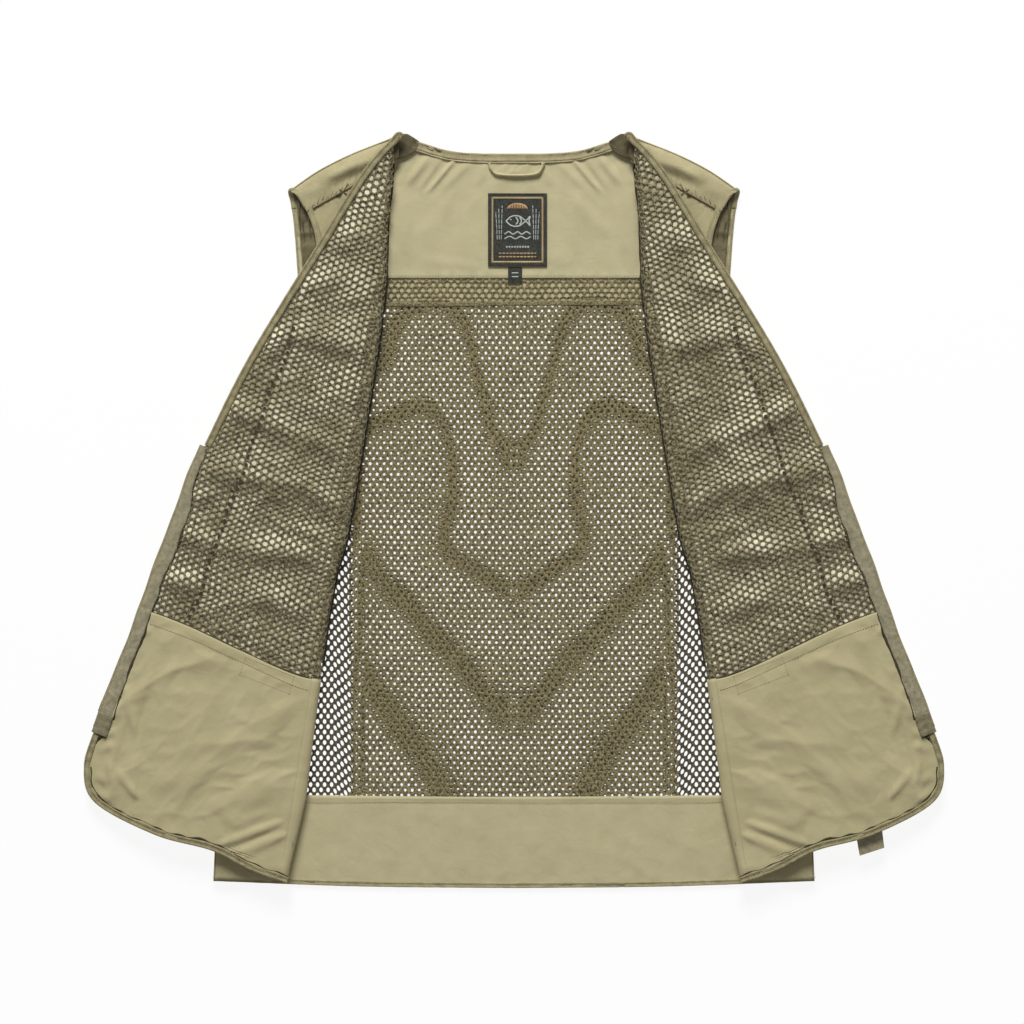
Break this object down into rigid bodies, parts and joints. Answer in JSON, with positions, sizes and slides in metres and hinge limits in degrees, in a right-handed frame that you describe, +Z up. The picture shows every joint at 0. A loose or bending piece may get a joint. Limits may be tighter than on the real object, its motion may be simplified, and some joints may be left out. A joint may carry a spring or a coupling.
{
  "type": "fishing vest",
  "caption": "Sleeveless khaki fishing vest laid flat with both zip fronts folded open, mesh lining, plain yoke, inner pockets, label and hang loop.",
  "frame": {"origin": "on the ground under the middle of the vest's overall box, which is also its mirror plane", "axes": "+Z up off the ground the vest lies on, +Y from the hem to the neck, +X across, to the right as seen from above with the neck at the top; left_ and right_ in node names are as seen that way"},
  "size_m": [0.7826, 0.6876, 0.0183],
  "materials": {
    "cloth": "plain woven khaki polyester, matt",
    "mesh": "olive khaki warp-knit mesh with hexagonal holes",
    "binding": "folded bias binding with two rows of stitching",
    "tape": "ribbed grosgrain tape",
    "coil": "spiral nylon zip coil",
    "zip_metal": "enamelled zip hardware",
    "label": "damask woven label, gold border",
    "hook_and_loop": "nylon hook and loop pile"
  },
  "bodies": {
    "vest_back": {"back_yoke_outer": "cloth", "back_mesh_outer": "mesh", "hem_band": "cloth", "yoke_lining": "cloth", "back_mesh_lining": "mesh", "hem_facing": "cloth", "neck_binding": "binding", "back_hem_binding": "binding", "woven_label": "label", "left_side_front_mesh": "mesh", "left_shoulder_panel": "cloth", "left_side_front_shell": "cloth", "left_shoulder_fold": "binding", "left_side_seam_tape": "binding", "left_armhole_binding_back": "binding", "left_armhole_binding_front": "binding", "right_side_front_mesh": "mesh", "right_shoulder_panel": "cloth", "right_side_front_shell": "cloth", "right_shoulder_fold": "binding", "right_side_seam_tape": "binding", "right_armhole_binding_back": "binding", "right_armhole_binding_front": "binding"},
    "left_front": {"left_front_shell": "cloth", "left_front_mesh": "mesh", "left_inner_pocket": "cloth", "left_edge_binding": "binding", "left_hem_edge_binding": "binding", "left_loop_patch": "hook_and_loop", "left_hook_patch": "hook_and_loop", "left_zip_tape": "tape", "left_zip_coil": "coil", "left_chest_pocket": "cloth", "left_chest_zip": "tape", "left_lower_pocket": "cloth", "left_lower_pocket_lid": "cloth", "left_retainer_box": "zip_metal"},
    "right_front": {"right_front_shell": "cloth", "right_front_mesh": "mesh", "right_inner_pocket": "cloth", "right_edge_binding": "binding", "right_hem_edge_binding": "binding", "right_loop_patch": "hook_and_loop", "right_hook_patch": "hook_and_loop", "right_zip_tape": "tape", "right_zip_coil": "coil", "right_chest_pocket": "cloth", "right_chest_zip": "tape", "right_lower_pocket": "cloth", "right_lower_pocket_lid": "cloth", "right_insertion_pin": "zip_metal", "right_rod_loop": "tape"},
    "left_main_slider": {"left_main_slider": "zip_metal"},
    "left_main_pull": {"left_main_pull": "zip_metal"},
    "left_chest_slider": {"left_chest_slider": "zip_metal"},
    "right_chest_slider": {"right_chest_slider": "zip_metal"},
    "hang_loop": {"hang_loop": "binding"},
    "size_tab": {"size_tab": "label"}
  },
  "joints": [
    {"name": "left_front_fold", "type": "hinge", "parent": "vest_back", "child": "left_front", "pos_m": [-0.101, 0.338, 0.0115], "axis": [0.1596, 0.9872, 0], "range_deg": [0, 180]},
    {"name": "right_front_fold", "type": "hinge", "parent": "vest_back", "child": "right_front", "pos_m": [0.101, 0.338, 0.0115], "axis": [0.1596, -0.9872, 0], "range_deg": [0, 180]},
    {"name": "left_main_slider_travel", "type": "slide", "parent": "left_front", "child": "left_main_slider", "axis": [0.3558, 0.9343, 0.0212], "range_m": [0, 0.244]},
    {"name": "left_main_pull_swing", "type": "hinge", "parent": "left_main_slider", "child": "left_main_pull", "pos_m": [-0.37288, -0.17842, 0.00274], "axis": [0.9345, -0.3559, 0], "range_deg": [0, 150]},
    {"name": "left_chest_slider_travel", "type": "slide", "parent": "left_front", "child": "left_chest_slider", "axis": [0.1596, 0.9872, 0], "range_m": [0, 0.105]},
    {"name": "right_chest_slider_travel", "type": "slide", "parent": "right_front", "child": "right_chest_slider", "axis": [-0.1596, 0.9872, 0], "range_m": [0, 0.105]},
    {"name": "hang_loop_lift", "type": "hinge", "parent": "vest_back", "child": "hang_loop", "pos_m": [0.0022, 0.317, 0.0042], "axis": [-1, 0, 0], "range_deg": [0, 150]},
    {"name": "size_tab_flip", "type": "hinge", "parent": "vest_back", "child": "size_tab", "pos_m": [0.001, 0.22235, 0.00265], "axis": [-1, 0, 0], "range_deg": [0, 120]}
  ]
}
